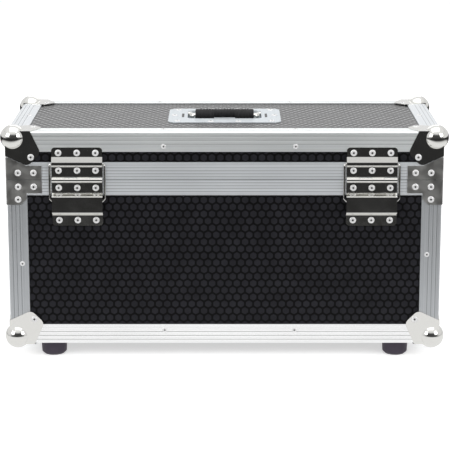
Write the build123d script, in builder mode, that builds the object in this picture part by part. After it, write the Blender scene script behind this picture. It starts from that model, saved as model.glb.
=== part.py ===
from build123d import *
import math
import os

# Lighting flight case, millimetres.
# X runs along the case, Y from the hinge side (-Y) to the latch side (+Y), Z is up.
# The origin is on the floor under the middle of the case.

# Driving dimensions: the case
case_width = 645.0
case_depth = 292.0
base_height = 252.0
lid_height = 72.0
foot_height = 24.0

# Board, foam and sheet
panel_thickness = 7.0
foam_thickness = 10.2
plate = 1.2
soft_gap = 0.3
running_gap = 0.3
cut_margin = 1.0

# Double-angle edge extrusion
wall = 1.5
edge_leg = 30.0
edge_inner_leg = 18.0
edge_radius = 3.0
groove_count = 3
groove_first = 6.5
groove_pitch = 6.0
groove_width = 1.2
groove_depth = 0.4

# Lid-location extrusion: tongue on the base, groove in the lid
base_rim_height = 23.4
lid_rim_height = 26.3
rim_cap = 3.0
rim_chamfer = 0.5
tongue_height = 4.0
tongue_width = 2.4
tongue_taper = 0.5
tongue_side_gap = 0.8
tongue_top_gap = 0.8
groove_roof = 2.2

# Ball corners and braces
ball_radius = 19.0
ball_inset = 10.0
arm_root = 36.0
arm_far = 51.5
arm_near = 32.0
arm_end_radius = 10.0
brace_reach = 52.0
base_brace_height = 20.0
base_brace_leg_width = 29.0
base_brace_leg_height = 37.6
base_brace_chamfer = 8.6
lid_brace_height = 21.0
brace_split_gap = 0.4
brace_arm_gap = 0.8
brace_bend_radius = 2.0

# Feet
foot_radius = 20.0
foot_draft = 1.5
foot_inset_x = 62.5
foot_inset_y = 34.0
foot_chamfer = 3.5
foot_recess_radius = 8.0
foot_recess_depth = 12.0
foot_relief_gap = 0.3

# Stay hinges
hinge_brace_gap = 11.75
leaf_width = 75.0
pin_proud = 4.0
pin_radius = 2.0
pin_clearance = 0.05
knuckle_radius = 3.8
knuckle_count = 4
knuckle_gap = 0.3
knuckle_root = 1.0
leaf_bend_radius = 1.0
leaf_corner_radius = 5.0
lid_leaf_top = 48.6
bead_top = 34.2
bead_bottom = 19.9
bead_land = 2.0
base_leaf_step_top = 20.5
base_leaf_step = 4.5
channel_depth = 7.9
channel_bottom = 48.5
base_leaf_foot_top = 53.0
base_leaf_bottom = 69.5

# Wire ring of a stay
wire_radius = 1.6
wire_gap = 0.25
wire_proud = 1.95
ring_side_gap = 3.25
ring_top = 24.0
ring_bottom = 34.5
ring_top_cut = 2.5
ring_corner_cut = 6.0

# Recessed carrying handle
handle_flange_x = 172.0
handle_flange_y = 127.0
handle_flange_radius = 14.0
handle_pan_x = 114.0
handle_pan_y = 72.0
handle_pan_radius = 8.0
handle_pan_depth = 16.0
handle_pan_draft = 6.0
handle_pan_offset = 9.0
handle_tab_width = 32.0
handle_tab_reach = 9.0
handle_cutout_margin = 9.0
grip_length = 90.0
grip_end_gap = 1.7
grip_radius = 11.0
grip_chamfer = 1.5
grip_offset = -5.0
grip_above_flange = 0.3
bail_radius = 4.0
bail_bend = 3.6
bail_pivot_offset = 38.0
bail_pivot_drop = 4.7
bail_stub = 5.0
bail_hole_clearance = 0.1

# Recessed latches
latch_inset_x = 132.5
latch_pan_width = 62.0
latch_pan_height = 60.0
keeper_pan_height = 28.0
latch_pan_depth = 13.0
latch_flange = 9.0
latch_flange_radius = 4.0
latch_cut_gap = 0.5
rotor_drop = 31.0
rotor_radius = 13.0
rotor_front = 4.6
rotor_thickness = 2.0
spindle_radius = 4.0
spindle_clearance = 0.05
nut_radius = 6.0
nut_thickness = 1.6
lug_front = 1.2
lug_half_width = 7.0
lug_inner = 10.7
lug_outer = 13.2
wing_radius = 25.0
wing_start = 9.0
wing_overlap = 1.0
wing_thickness = 1.6
wing_axis_offset = 4.2
wing_axis_depth = 2.7
wing_pin_radius = 1.2
wing_pin_clearance = 0.06
wing_stem_half = 10.3
wing_corner_cut = 3.0
hook_half_width = 8.0
hook_thickness = 1.5
hook_pivot_depth = 10.5
hook_pivot_drop = 52.0
hook_pin_radius = 1.25
hook_pin_clearance = 0.05
hook_barrel_radius = 2.3
hook_jog_start = -8.0
hook_jog_end = -1.0
hook_front_depth = 5.0
hook_reach = 12.0
hook_nose_depth = 10.0
hook_slot_clearance = 1.4
hook_slot_height = 16.0
hook_undone_tilt = 4.5
ear_thickness = 1.5
ear_radius = 3.0
shelf_top = 10.5
shelf_thickness = 2.0
shelf_depth = 7.0
shelf_half_width = 14.0

# Levels and places that follow from them
slot_inner = wall + panel_thickness
section_depth = slot_inner + wall
body_bottom = foot_height
split = body_bottom + base_height
body_top = split + lid_height
half_width = case_width / 2
half_depth = case_depth / 2
foam_inner = section_depth + soft_gap + foam_thickness
ring_half_width = leaf_width / 2 + ring_side_gap
hinge_x = half_width - brace_reach - hinge_brace_gap - ring_half_width
latch_x = half_width - latch_inset_x

os.makedirs("parts", exist_ok=True)


# Each side of the case starts at a corner, runs along one direction and has an inward direction.
SIDES = {
    "hinge": ((-half_width, -half_depth), (1, 0, 0), (0, 1, 0), case_width),
    "right": ((half_width, -half_depth), (0, 1, 0), (-1, 0, 0), case_depth),
    "latch": ((half_width, half_depth), (-1, 0, 0), (0, -1, 0), case_width),
    "left": ((-half_width, half_depth), (0, -1, 0), (1, 0, 0), case_depth),
}
LONG_SIDES = ("hinge", "latch")
SHORT_SIDES = ("right", "left")


def end_plane(side, z, down=False):
    """Plane across a side at its start corner: local x goes inward, local y up (or down)."""
    (x, y), along, inward, length = SIDES[side]
    normal = Vector(*along) * (-1 if down else 1)
    return Plane(origin=(x, y, z), x_dir=inward, z_dir=normal)


def face_plane(side, z):
    """Plane of a side's outer face: local x goes along the side, local y up, normal outward."""
    (x, y), along, inward, length = SIDES[side]
    return Plane(origin=(x, y, z), x_dir=along, z_dir=Vector(*inward) * -1)


def plan_plane(side, z):
    """Level plane at a side's start corner: local x goes along the side, local y inward."""
    (x, y), along, inward, length = SIDES[side]
    return Plane(origin=(x, y, z), x_dir=along, z_dir=(0, 0, 1))


def edge_section(plane):
    """Section of the double-angle extrusion, its outer corner at the plane's origin."""
    with BuildSketch(plane) as section:
        Rectangle(edge_leg, edge_leg, align=(Align.MIN, Align.MIN))
        fillet(section.vertices().sort_by_distance((0, 0))[0], edge_radius)
        with Locations((wall, wall)):
            Rectangle(edge_leg, edge_leg, align=(Align.MIN, Align.MIN), mode=Mode.SUBTRACT)
        with Locations((slot_inner, wall)):
            Rectangle(wall, edge_inner_leg - wall, align=(Align.MIN, Align.MIN))
        with Locations((wall, slot_inner)):
            Rectangle(edge_inner_leg - wall, wall, align=(Align.MIN, Align.MIN))
        for number in range(groove_count):
            across = groove_first + number * groove_pitch
            with Locations((across, 0)):
                Rectangle(groove_width, 2 * groove_depth, mode=Mode.SUBTRACT)
            with Locations((0, across)):
                Rectangle(2 * groove_depth, groove_width, mode=Mode.SUBTRACT)
    return section.sketch


def base_rim_section(plane):
    """Section of the base's rim: two skins, a cap and a tapered tongue above the split."""
    middle = section_depth / 2
    foot_half = tongue_width / 2
    tip_half = foot_half - tongue_taper
    with BuildSketch(plane) as section:
        with BuildLine():
            Polyline(
                (0, -base_rim_height),
                (wall, -base_rim_height),
                (wall, -rim_cap),
                (slot_inner, -rim_cap),
                (slot_inner, -base_rim_height),
                (section_depth, -base_rim_height),
                (section_depth, 0),
                (middle + foot_half, 0),
                (middle + tip_half, tongue_height),
                (middle - tip_half, tongue_height),
                (middle - foot_half, 0),
                (rim_chamfer, 0),
                (0, -rim_chamfer),
                close=True,
            )
        make_face()
    return section.sketch


def lid_rim_section(plane):
    """Section of the lid's rim: two skins and a block with the groove that the tongue enters."""
    middle = section_depth / 2
    groove_half = tongue_width / 2 + tongue_side_gap
    groove_top = tongue_height + tongue_top_gap
    block_top = groove_top + groove_roof
    with BuildSketch(plane) as section:
        with BuildLine():
            Polyline(
                (rim_chamfer, 0),
                (middle - groove_half, 0),
                (middle - groove_half, groove_top),
                (middle + groove_half, groove_top),
                (middle + groove_half, 0),
                (section_depth, 0),
                (section_depth, lid_rim_height),
                (slot_inner, lid_rim_height),
                (slot_inner, block_top),
                (wall, block_top),
                (wall, lid_rim_height),
                (0, lid_rim_height),
                (0, rim_chamfer),
                close=True,
            )
        make_face()
    return section.sketch


def mitre_wedges(side, depth):
    """Plan of the two wedges that a 45 degree mitre takes off a side's ends."""
    length = SIDES[side][3]
    beyond = depth + cut_margin
    with BuildSketch(plan_plane(side, body_bottom - cut_margin)) as wedges:
        with BuildLine():
            Polyline(
                (0, 0),
                (beyond, beyond),
                (-cut_margin, beyond),
                (-cut_margin, -cut_margin),
                close=True,
            )
        make_face()
        with BuildLine():
            Polyline(
                (length, 0),
                (length - beyond, beyond),
                (length + cut_margin, beyond),
                (length + cut_margin, -cut_margin),
                close=True,
            )
        make_face()
    return wedges.sketch


def arm_outline(plane, corner_x, x_sign, y_sign, margin=0.0):
    """Leaf of a ball corner on one face: from the wrapped corner to a rounded end on the diagonal."""
    points = [
        (-plate, -plate),
        (arm_root, -plate),
        (arm_far, arm_near),
        (arm_near, arm_far),
        (-plate, arm_root),
    ]
    with BuildSketch(plane) as outline:
        with BuildLine():
            Polyline([(corner_x + x_sign * a, y_sign * b) for a, b in points], close=True)
        make_face()
        far_end = outline.vertices().sort_by_distance((corner_x, 0))[-2:]
        fillet(far_end, arm_end_radius)
        if margin:
            offset(amount=margin)
    return outline.sketch


def latch_windows(plane, pan_height):
    """Openings along the latch side that the two latch pans need, below or above the split."""
    with BuildSketch(plane) as windows:
        for x in (latch_inset_x, case_width - latch_inset_x):
            with Locations((x, 0)):
                Rectangle(
                    latch_pan_width + 2 * (plate + latch_cut_gap),
                    2 * (pan_height + plate + latch_cut_gap),
                )
    return windows.sketch


def bar(section, length, side, depth):
    """Mitred bar along a side, made by sweeping its section from the side's start corner."""
    with BuildPart() as piece:
        extrude(section, amount=length)
        extrude(mitre_wedges(side, depth), amount=case_width, mode=Mode.SUBTRACT)
    return piece.part


def board(side, z_low, z_high):
    """Wall panel between the skins of the posts, from one level to another."""
    length = SIDES[side][3]
    with BuildPart() as piece:
        with BuildSketch(face_plane(side, z_low).offset(-wall)):
            with Locations((section_depth, 0)):
                Rectangle(
                    length - 2 * section_depth,
                    z_high - z_low,
                    align=(Align.MIN, Align.MIN),
                )
        extrude(amount=-panel_thickness)
    return piece.part


def foam_slab(side, z_low, z_high, shorten):
    """Foam lining of one wall, just clear of the extrusions' inner legs."""
    length = SIDES[side][3]
    with BuildPart() as piece:
        with BuildSketch(plan_plane(side, z_low)):
            with Locations((length / 2, section_depth + soft_gap)):
                Rectangle(
                    length - 2 * shorten,
                    foam_thickness,
                    align=(Align.CENTER, Align.MIN),
                )
        extrude(amount=z_high - z_low)
    return piece.part


# Floor edges: two long and two short mitred extrusions
with BuildPart() as base_edges_long:
    for side in LONG_SIDES:
        add(bar(edge_section(end_plane(side, body_bottom)), case_width, side, edge_leg))
base_edges_long.part.label = "base_edges_long"
export_step(base_edges_long.part, "parts/base_edges_long.step")

with BuildPart() as base_edges_short:
    for side in SHORT_SIDES:
        add(bar(edge_section(end_plane(side, body_bottom)), case_depth, side, edge_leg))
base_edges_short.part.label = "base_edges_short"
export_step(base_edges_short.part, "parts/base_edges_short.step")

# Lid edges: the same extrusion with its corner at the top
with BuildPart() as lid_edges_long:
    for side in LONG_SIDES:
        add(bar(edge_section(end_plane(side, body_top, down=True)), -case_width, side, edge_leg))
lid_edges_long.part.label = "lid_edges_long"
export_step(lid_edges_long.part, "parts/lid_edges_long.step")

with BuildPart() as lid_edges_short:
    for side in SHORT_SIDES:
        add(bar(edge_section(end_plane(side, body_top, down=True)), -case_depth, side, edge_leg))
lid_edges_short.part.label = "lid_edges_short"
export_step(lid_edges_short.part, "parts/lid_edges_short.step")

# Upright corner posts between the floor edges and the rim, and the short ones in the lid
with BuildPart() as base_corner_posts:
    for side in SIDES:
        post_height = base_height - edge_leg - base_rim_height
        extrude(edge_section(plan_plane(side, body_bottom + edge_leg)), amount=post_height)
base_corner_posts.part.label = "base_corner_posts"
export_step(base_corner_posts.part, "parts/base_corner_posts.step")

with BuildPart() as lid_corner_posts:
    for side in SIDES:
        post_height = lid_height - edge_leg - lid_rim_height
        extrude(edge_section(plan_plane(side, split + lid_rim_height)), amount=post_height)
lid_corner_posts.part.label = "lid_corner_posts"
export_step(lid_corner_posts.part, "parts/lid_corner_posts.step")

# Rims: the latch side's bars are interrupted by the two latch pans
with BuildPart() as base_rim_hinge:
    add(bar(base_rim_section(end_plane("hinge", split)), case_width, "hinge", section_depth))
base_rim_hinge.part.label = "base_rim_hinge"
export_step(base_rim_hinge.part, "parts/base_rim_hinge.step")

with BuildPart() as base_rim_latch:
    add(bar(base_rim_section(end_plane("latch", split)), case_width, "latch", section_depth))
    extrude(
        latch_windows(face_plane("latch", split), latch_pan_height),
        amount=-section_depth,
        mode=Mode.SUBTRACT,
    )
base_rim_latch.part.label = "base_rim_latch"
export_step(base_rim_latch.part, "parts/base_rim_latch.step")

with BuildPart() as base_rims_short:
    for side in SHORT_SIDES:
        add(bar(base_rim_section(end_plane(side, split)), case_depth, side, section_depth))
base_rims_short.part.label = "base_rims_short"
export_step(base_rims_short.part, "parts/base_rims_short.step")

with BuildPart() as lid_rim_hinge:
    add(bar(lid_rim_section(end_plane("hinge", split)), case_width, "hinge", section_depth))
lid_rim_hinge.part.label = "lid_rim_hinge"
export_step(lid_rim_hinge.part, "parts/lid_rim_hinge.step")

with BuildPart() as lid_rim_latch:
    add(bar(lid_rim_section(end_plane("latch", split)), case_width, "latch", section_depth))
    extrude(
        latch_windows(face_plane("latch", split), keeper_pan_height),
        amount=-section_depth,
        mode=Mode.SUBTRACT,
    )
lid_rim_latch.part.label = "lid_rim_latch"
export_step(lid_rim_latch.part, "parts/lid_rim_latch.step")

with BuildPart() as lid_rims_short:
    for side in SHORT_SIDES:
        add(bar(lid_rim_section(end_plane(side, split)), case_depth, side, section_depth))
lid_rims_short.part.label = "lid_rims_short"
export_step(lid_rims_short.part, "parts/lid_rims_short.step")

# Wall panels: their edges lie in the slots of the floor edges, posts and rims
base_panel_low = body_bottom + section_depth
base_panel_high = split - rim_cap
lid_panel_low = split + tongue_height + tongue_top_gap + groove_roof
lid_panel_high = body_top - section_depth

for side in SIDES:
    with BuildPart() as base_wall:
        add(board(side, base_panel_low, base_panel_high))
        if side == "latch":
            extrude(
                latch_windows(face_plane(side, split), latch_pan_height),
                amount=-section_depth,
                mode=Mode.SUBTRACT,
            )
    base_wall.part.label = f"base_wall_{side}"
    export_step(base_wall.part, f"parts/base_wall_{side}.step")

for side in SIDES:
    with BuildPart() as lid_wall:
        add(board(side, lid_panel_low, lid_panel_high))
        if side == "latch":
            extrude(
                latch_windows(face_plane(side, split), keeper_pan_height),
                amount=-section_depth,
                mode=Mode.SUBTRACT,
            )
    lid_wall.part.label = f"lid_wall_{side}"
    export_step(lid_wall.part, f"parts/lid_wall_{side}.step")

# Feet under the floor edges, each with a recess for its screw
FOOT_X = half_width - foot_inset_x
FOOT_Y = half_depth - foot_inset_y
FOOT_PLACES = [(x, y) for x in (-FOOT_X, FOOT_X) for y in (-FOOT_Y, FOOT_Y)]

with BuildPart() as base_floor:
    with BuildSketch(Plane.XY.offset(body_bottom + wall)):
        Rectangle(case_width - 2 * section_depth, case_depth - 2 * section_depth)
    extrude(amount=panel_thickness)
base_floor.part.label = "base_floor"
export_step(base_floor.part, "parts/base_floor.step")

with BuildPart() as feet:
    with Locations(*[Location((x, y, 0)) for x, y in FOOT_PLACES]):
        Cone(
            foot_radius - foot_draft,
            foot_radius,
            foot_height,
            align=(Align.CENTER, Align.CENTER, Align.MIN),
        )
    chamfer(feet.edges().group_by(Axis.Z)[0], foot_chamfer)
    with Locations(*[Location((x, y, 0)) for x, y in FOOT_PLACES]):
        Cylinder(
            foot_recess_radius,
            foot_recess_depth,
            align=(Align.CENTER, Align.CENTER, Align.MIN),
            mode=Mode.SUBTRACT,
        )
    # Relief in each foot's top for the arm of the ball corner beside it
    for side in SIDES:
        relief = arm_outline(plan_plane(side, body_bottom), 0, 1, 1, margin=foot_relief_gap)
        extrude(relief, amount=-plate - foot_relief_gap, mode=Mode.SUBTRACT)
feet.part.label = "feet"
export_step(feet.part, "parts/feet.step")


def ball_corner_set(level, y_sign):
    """Four pressed corners: a ball round each corner of the case and an arm on each of its faces."""
    ball_x = half_width - ball_inset
    ball_y = half_depth - ball_inset
    ball_z = level + y_sign * ball_inset
    with BuildPart() as corners:
        with Locations(*[Location((x, y, ball_z)) for x in (-ball_x, ball_x) for y in (-ball_y, ball_y)]):
            Sphere(ball_radius)
        with Locations((0, 0, body_bottom)):
            Box(
                case_width,
                case_depth,
                body_top - body_bottom,
                align=(Align.CENTER, Align.CENTER, Align.MIN),
                mode=Mode.SUBTRACT,
            )
        for side in SIDES:
            wall_face = face_plane(side, level)
            length = SIDES[side][3]
            extrude(arm_outline(wall_face, 0, 1, y_sign), amount=plate)
            extrude(arm_outline(wall_face, length, -1, y_sign), amount=plate)
            extrude(arm_outline(plan_plane(side, level), 0, 1, 1), amount=-y_sign * plate)
    return corners.part


with BuildPart() as base_ball_corners:
    add(ball_corner_set(body_bottom, 1))
base_ball_corners.part.label = "base_ball_corners"
export_step(base_ball_corners.part, "parts/base_ball_corners.step")

with BuildPart() as lid_ball_corners:
    add(ball_corner_set(body_top, -1))
lid_ball_corners.part.label = "lid_ball_corners"
export_step(lid_ball_corners.part, "parts/lid_ball_corners.step")


def brace_set(points):
    """Four plates bent round the upright corners at the split, from the outline of one face."""
    with BuildPart() as braces:
        for side in SIDES:
            length = SIDES[side][3]
            with BuildSketch(face_plane(side, split)):
                with BuildLine():
                    Polyline(points, close=True)
                make_face()
                with BuildLine():
                    Polyline([(length - x, y) for x, y in points], close=True)
                make_face()
            extrude(amount=plate)
        corner_edges = braces.edges().filter_by(Axis.Z).sort_by_distance((0, 0, split))
        outermost = corner_edges.filter_by(
            lambda edge: abs(edge.center().X) > half_width and abs(edge.center().Y) > half_depth
        )
        fillet(outermost, brace_bend_radius)
    return braces.part


base_brace_points = [
    (-plate, -brace_split_gap),
    (brace_reach, -brace_split_gap),
    (brace_reach, -base_brace_height),
    (base_brace_leg_width, -base_brace_height),
    (base_brace_leg_width, base_brace_chamfer - base_brace_leg_height),
    (base_brace_leg_width - base_brace_chamfer, -base_brace_leg_height),
    (-plate, -base_brace_leg_height),
]
with BuildPart() as base_corner_braces:
    add(brace_set(base_brace_points))
base_corner_braces.part.label = "base_corner_braces"
export_step(base_corner_braces.part, "parts/base_corner_braces.step")

# The lid's braces end along the lower edge of the ball corner's arm
arm_slope = (arm_far - arm_root) / (arm_near + plate)
brace_shoulder = brace_bend_radius + plate
brace_peak = lid_height - arm_root - arm_slope * (brace_shoulder + plate) - brace_arm_gap
brace_knee = brace_shoulder + (brace_peak - lid_brace_height) / arm_slope
lid_brace_points = [
    (-plate, brace_split_gap),
    (brace_reach, brace_split_gap),
    (brace_reach, lid_brace_height),
    (brace_knee, lid_brace_height),
    (brace_shoulder, brace_peak),
    (-plate, brace_peak),
]
with BuildPart() as lid_corner_braces:
    add(brace_set(lid_brace_points))
lid_corner_braces.part.label = "lid_corner_braces"
export_step(lid_corner_braces.part, "parts/lid_corner_braces.step")


# Stay hinges. A section plane across a hinge: local x is the height off the case's face, y is up.
HINGE_PLACES = {"left": -hinge_x, "right": hinge_x}
knuckle_pitch = leaf_width / knuckle_count


def hinge_section(x):
    """Plane across a hinge at one place along the case."""
    return Plane(origin=(x, -half_depth, split), x_dir=(0, -1, 0), z_dir=(-1, 0, 0))


def knuckles(x, first, up):
    """Every second barrel of a hinge, with the strip that joins it to its leaf."""
    width = knuckle_pitch - knuckle_gap
    strip = knuckle_radius + knuckle_gap + knuckle_root
    with BuildPart() as barrels:
        for number in range(first, knuckle_count, 2):
            middle = x - leaf_width / 2 + (number + 0.5) * knuckle_pitch
            with BuildSketch(hinge_section(middle)):
                with Locations((pin_proud, 0)):
                    Circle(knuckle_radius)
                Rectangle(plate, up * strip, align=(Align.MIN, Align.MIN if up > 0 else Align.MAX))
                with Locations((pin_proud, 0)):
                    Circle(pin_radius + pin_clearance, mode=Mode.SUBTRACT)
            extrude(amount=width / 2, both=True)
    return barrels.part


for name, x in HINGE_PLACES.items():
    # Lid leaf: flange on the edge extrusion, bead over the ring's upper bar, leaf on the rim
    bead_inner = wire_proud + wire_radius + wire_gap
    with BuildPart() as lid_leaf:
        with BuildSketch(hinge_section(x)):
            with BuildLine():
                FilletPolyline(
                    (0, lid_leaf_top),
                    (0, bead_top),
                    (bead_inner, ring_top + bead_land),
                    (bead_inner, ring_top - bead_land),
                    (0, bead_bottom),
                    (0, knuckle_radius + knuckle_gap),
                    radius=leaf_bend_radius,
                )
                offset(amount=plate, side=Side.LEFT)
            make_face()
        extrude(amount=leaf_width / 2, both=True)
        fillet(lid_leaf.edges().filter_by(Axis.Y).group_by(Axis.Z)[-1], leaf_corner_radius)
        add(knuckles(x, 0, 1))
    lid_leaf.part.label = f"hinge_lid_leaf_{name}"
    export_step(lid_leaf.part, f"parts/hinge_lid_leaf_{name}.step")

    # Base leaf: leaf on the rim, raised channel for the ring's lower bar, foot flange on the panel
    with BuildPart() as base_leaf:
        with BuildSketch(hinge_section(x)):
            with BuildLine():
                FilletPolyline(
                    (0, -knuckle_radius - knuckle_gap),
                    (0, -base_leaf_step_top),
                    (channel_depth, -base_leaf_step_top - base_leaf_step),
                    (channel_depth, -channel_bottom),
                    (0, -base_leaf_foot_top),
                    (0, -base_leaf_bottom),
                    radius=leaf_bend_radius,
                )
                offset(amount=plate, side=Side.LEFT)
            make_face()
        extrude(amount=leaf_width / 2, both=True)
        fillet(base_leaf.edges().filter_by(Axis.Y).group_by(Axis.Z)[0], leaf_corner_radius)
        add(knuckles(x, 1, -1))
    base_leaf.part.label = f"hinge_base_leaf_{name}"
    export_step(base_leaf.part, f"parts/hinge_base_leaf_{name}.step")

    # Wire ring: half of the loop is swept with mitred bends and mirrored
    with BuildPart() as stay_ring:
        ring_plane = Plane(
            origin=(x, -half_depth - wire_proud, split), x_dir=(1, 0, 0), z_dir=(0, -1, 0)
        )
        with BuildLine(ring_plane) as half_loop:
            Polyline(
                (0, ring_top),
                (ring_half_width - ring_top_cut, ring_top),
                (ring_half_width, ring_top - ring_top_cut),
                (ring_half_width, ring_corner_cut - ring_bottom),
                (ring_half_width - ring_corner_cut, -ring_bottom),
                (0, -ring_bottom),
            )
        with BuildSketch(Plane(origin=half_loop.line @ 0, z_dir=half_loop.line % 0)):
            Circle(wire_radius)
        sweep(transition=Transition.RIGHT)
        mirror(about=Plane.YZ.offset(x))
    stay_ring.part.label = f"stay_ring_{name}"
    export_step(stay_ring.part, f"parts/stay_ring_{name}.step")

# The two hinge pins
with BuildPart() as hinge_pins:
    for x in HINGE_PLACES.values():
        with BuildSketch(hinge_section(x)):
            with Locations((pin_proud, 0)):
                Circle(pin_radius)
        extrude(amount=leaf_width / 2, both=True)
hinge_pins.part.label = "hinge_pins"
export_step(hinge_pins.part, "parts/hinge_pins.step")

# Recessed handle: a flanged pan let into the lid's top panel
panel_face = body_top - wall
flange_face = panel_face + plate
pivot_height = flange_face - bail_pivot_drop
grip_height = flange_face + grip_above_flange
pan_half_x = handle_pan_x / 2
cutout_x = handle_pan_x + 2 * (plate + handle_cutout_margin)
cutout_y = handle_pan_y + 2 * (plate + soft_gap)

with BuildPart() as lid_top:
    with BuildSketch(Plane.XY.offset(panel_face)):
        Rectangle(case_width - 2 * section_depth, case_depth - 2 * section_depth)
        with Locations((0, handle_pan_offset)):
            Rectangle(cutout_x, cutout_y, mode=Mode.SUBTRACT)
    extrude(amount=-panel_thickness)
lid_top.part.label = "lid_top"
export_step(lid_top.part, "parts/lid_top.step")

with BuildPart() as handle_dish:
    with BuildSketch(Plane.XY.offset(panel_face)):
        RectangleRounded(handle_flange_x, handle_flange_y, handle_flange_radius)
    extrude(amount=plate)
    with BuildSketch(Plane.XY.offset(flange_face)):
        with Locations((0, handle_pan_offset)):
            RectangleRounded(handle_pan_x + 2 * plate, handle_pan_y + 2 * plate, handle_pan_radius + plate)
    extrude(amount=-handle_pan_depth - plate, taper=handle_pan_draft)
    with BuildSketch(Plane.XY.offset(flange_face)):
        with Locations((0, handle_pan_offset)):
            RectangleRounded(handle_pan_x, handle_pan_y, handle_pan_radius)
    extrude(amount=-handle_pan_depth, taper=handle_pan_draft, mode=Mode.SUBTRACT)
    # The tab under the grip stays in the flange's opening
    with BuildSketch(Plane.XY.offset(panel_face)):
        with Locations((0, handle_pan_offset - handle_pan_y / 2)):
            Rectangle(handle_tab_width, 2 * handle_tab_reach)
    extrude(amount=plate)
    # Holes for the bail's ends
    with BuildSketch(Plane.YZ.offset(-handle_pan_x)):
        with Locations((bail_pivot_offset, pivot_height)):
            Circle(bail_radius + bail_hole_clearance)
    extrude(amount=2 * handle_pan_x, mode=Mode.SUBTRACT)
handle_dish.part.label = "handle_dish"
export_step(handle_dish.part, "parts/handle_dish.step")

# Bail: one bent rod, its legs beside the grip and its ends in the pan's walls
grip_from_pivot = Vector(0, grip_offset - bail_pivot_offset, grip_height - pivot_height)
leg_length = grip_from_pivot.length
bail_leg_x = grip_length / 2 + grip_end_gap + bail_bend
bail_end_x = pan_half_x + plate + bail_stub
bail_plane = Plane(
    origin=(0, bail_pivot_offset, pivot_height),
    x_dir=(1, 0, 0),
    z_dir=Vector(1, 0, 0).cross(grip_from_pivot),
)
with BuildPart() as handle_bail:
    with BuildLine(bail_plane) as half_bail:
        Polyline(
            (0, leg_length),
            (bail_leg_x - bail_bend, leg_length),
            (bail_leg_x, leg_length - bail_bend),
            (bail_leg_x, bail_bend),
            (bail_leg_x + bail_bend, 0),
            (bail_end_x, 0),
        )
    with BuildSketch(Plane(origin=half_bail.line @ 0, z_dir=half_bail.line % 0)):
        Circle(bail_radius)
    sweep(transition=Transition.RIGHT)
    mirror(about=Plane.YZ)
handle_bail.part.label = "handle_bail"
export_step(handle_bail.part, "parts/handle_bail.step")

with BuildPart() as handle_grip:
    with BuildSketch(Plane.YZ):
        with Locations((grip_offset, grip_height)):
            Circle(grip_radius)
    extrude(amount=grip_length / 2, both=True)
    chamfer(handle_grip.edges(), grip_chamfer)
    with BuildSketch(Plane.YZ):
        with Locations((grip_offset, grip_height)):
            Circle(bail_radius)
    extrude(amount=grip_length / 2, both=True, mode=Mode.SUBTRACT)
handle_grip.part.label = "handle_grip"
export_step(handle_grip.part, "parts/handle_grip.step")

# Foam lining
lid_foam_roof = body_top - section_depth - soft_gap
base_foam_floor_top = body_bottom + section_depth + soft_gap + foam_thickness

with BuildPart() as base_foam_floor:
    with BuildSketch(Plane.XY.offset(body_bottom + section_depth + soft_gap)):
        Rectangle(
            case_width - 2 * (section_depth + soft_gap),
            case_depth - 2 * (section_depth + soft_gap),
        )
    extrude(amount=foam_thickness)
base_foam_floor.part.label = "base_foam_floor"
export_step(base_foam_floor.part, "parts/base_foam_floor.step")

with BuildPart() as lid_foam_top:
    with BuildSketch(Plane.XY.offset(lid_foam_roof)):
        Rectangle(
            case_width - 2 * (section_depth + soft_gap),
            case_depth - 2 * (section_depth + soft_gap),
        )
    extrude(amount=-foam_thickness)
    pan_bottom = flange_face - handle_pan_depth - plate
    with BuildSketch(Plane.XY.offset(lid_foam_roof)):
        with Locations((0, handle_pan_offset)):
            Rectangle(cutout_x, cutout_y)
    extrude(amount=pan_bottom - soft_gap - lid_foam_roof, mode=Mode.SUBTRACT)
lid_foam_top.part.label = "lid_foam_top"
export_step(lid_foam_top.part, "parts/lid_foam_top.step")


def wall_foam(z_low, z_high, pan_height):
    """Four slabs; the one on the latch side has two pockets for the latch pans."""
    pocket_depth = latch_pan_depth + plate + nut_thickness + soft_gap + running_gap
    pocket_floor = pan_height + plate + latch_cut_gap
    with BuildPart() as slabs:
        for side in LONG_SIDES:
            add(foam_slab(side, z_low, z_high, section_depth + soft_gap))
        for side in SHORT_SIDES:
            add(foam_slab(side, z_low, z_high, foam_inner + soft_gap))
        extrude(
            latch_windows(face_plane("latch", split), pan_height),
            amount=-pocket_depth,
            mode=Mode.SUBTRACT,
        )
        # The foam is laid in pieces: joints run round each pocket and along the pockets' ends
        with BuildSketch(face_plane("latch", split)):
            add(latch_windows(Plane.XY, pan_height))
            offset(amount=-soft_gap, mode=Mode.SUBTRACT)
            for up in (-1, 1):
                with Locations((half_width, up * (pocket_floor - soft_gap / 2))):
                    Rectangle(case_width, soft_gap)
        extrude(amount=-foam_inner, mode=Mode.SUBTRACT)
    return slabs.part


with BuildPart() as base_foam_walls:
    add(wall_foam(base_foam_floor_top + soft_gap, split - soft_gap, latch_pan_height))
base_foam_walls.part.label = "base_foam_walls"
export_step(base_foam_walls.part, "parts/base_foam_walls.step")

with BuildPart() as lid_foam_walls:
    add(wall_foam(split + soft_gap, lid_foam_roof - foam_thickness - soft_gap, keeper_pan_height))
lid_foam_walls.part.label = "lid_foam_walls"
export_step(lid_foam_walls.part, "parts/lid_foam_walls.step")


# Recessed latches. Face plane of a latch: local x along the case, local y up from the split.
LATCH_PLACES = {"left": -latch_x, "right": latch_x}


def latch_plane(x, depth=0.0):
    """Plane parallel to the latch side's face, at a depth behind it, its normal outward."""
    return Plane(origin=(x, half_depth - depth, split), x_dir=(-1, 0, 0), z_dir=(0, 1, 0))


def latch_section(x):
    """Plane across a latch: local x is the depth behind the face, local y is up from the split."""
    return Plane(origin=(x, half_depth, split), x_dir=(0, -1, 0), z_dir=(-1, 0, 0))


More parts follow.
